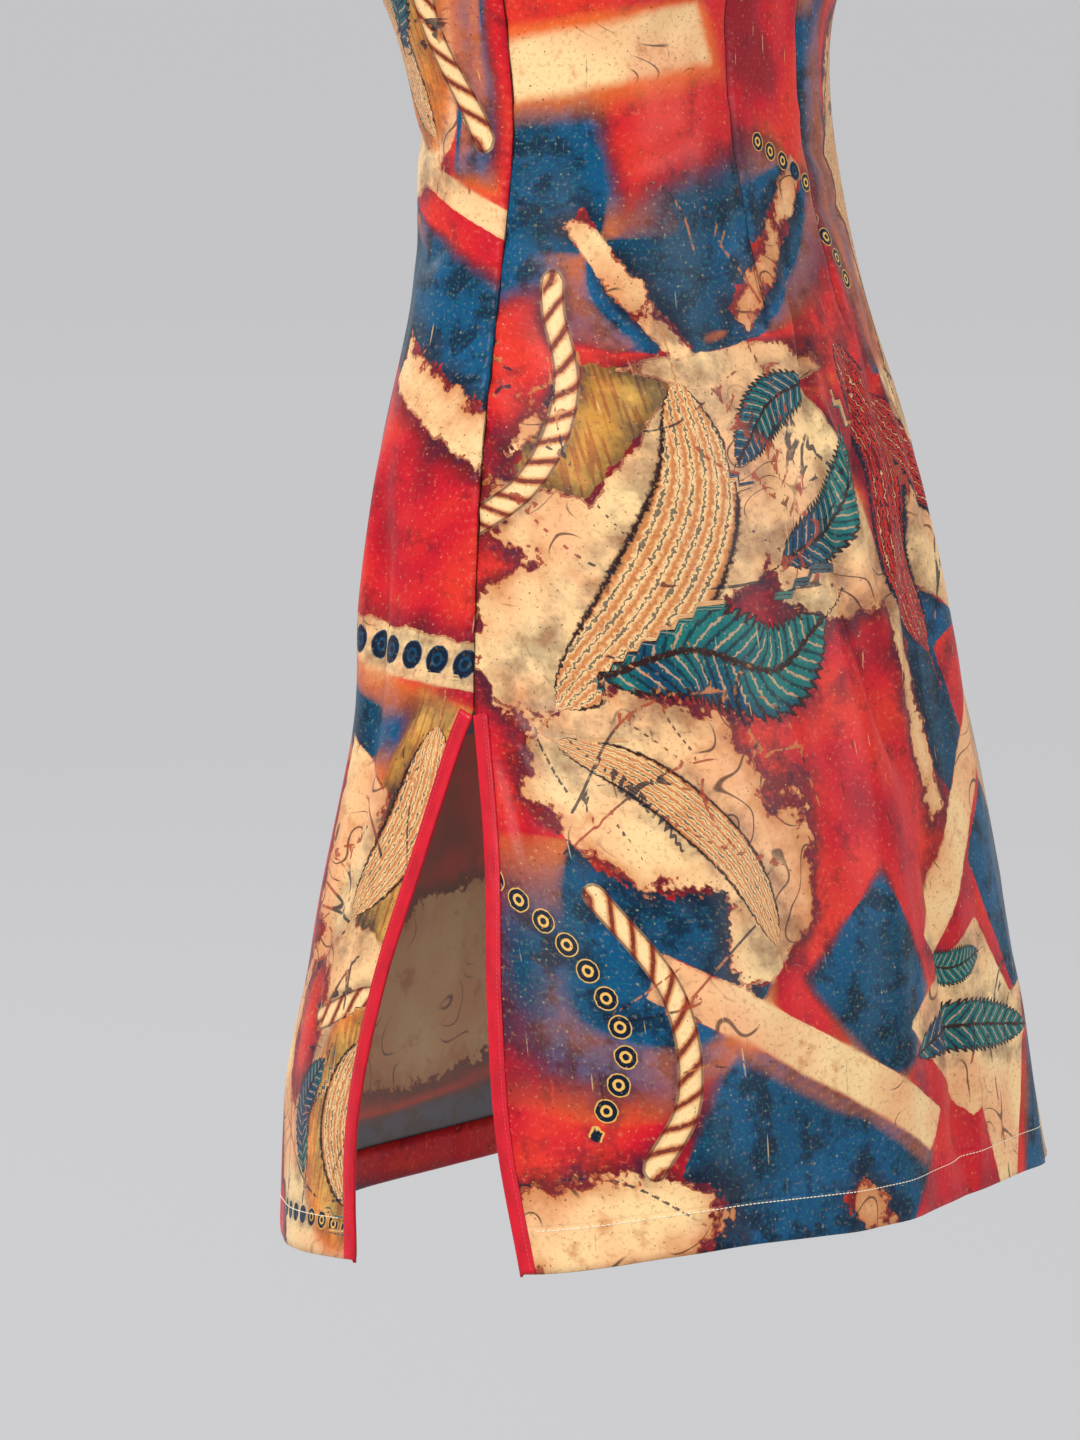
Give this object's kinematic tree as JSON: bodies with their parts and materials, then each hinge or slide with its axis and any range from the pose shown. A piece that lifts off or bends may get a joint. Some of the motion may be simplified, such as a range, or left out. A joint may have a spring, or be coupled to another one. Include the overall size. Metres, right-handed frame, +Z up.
{
  "type": "cheongsam dress",
  "caption": "Sleeveless knee-length silk cheongsam in its hollow worn form, with a stand collar, a diagonal opening, bound side slits and frog buttons.",
  "frame": {"origin": "where the wearer's shoulders hold the dress: midway between the neck points of its two shoulder seams", "axes": "+Z up towards the wearer's head, +X towards the wearer's left, -Y the way the wearer faces"},
  "size_m": [0.4388, 0.349, 1.0263],
  "materials": {
    "printed_satin": "smooth silk satin printed in red, cream, gold and teal",
    "crimson_binding": "crimson satin bias tape",
    "crimson_cord": "crimson satin cord"
  },
  "bodies": {
    "root": {"front_panel": "printed_satin", "back_panel": "printed_satin", "front_underlap": "printed_satin", "collar": "printed_satin", "collar_binding": "crimson_binding", "opening_binding": "crimson_binding", "armhole_binding_right": "crimson_binding", "armhole_binding_left": "crimson_binding", "slit_binding_front_right": "crimson_binding", "slit_binding_back_right": "crimson_binding", "slit_binding_front_left": "crimson_binding", "slit_binding_back_left": "crimson_binding", "frog_knot_1": "crimson_cord", "frog_loop_1": "crimson_cord", "frog_knot_2": "crimson_cord", "frog_loop_2": "crimson_cord", "frog_knot_3": "crimson_cord", "frog_loop_3": "crimson_cord"}
  },
  "joints": []
}
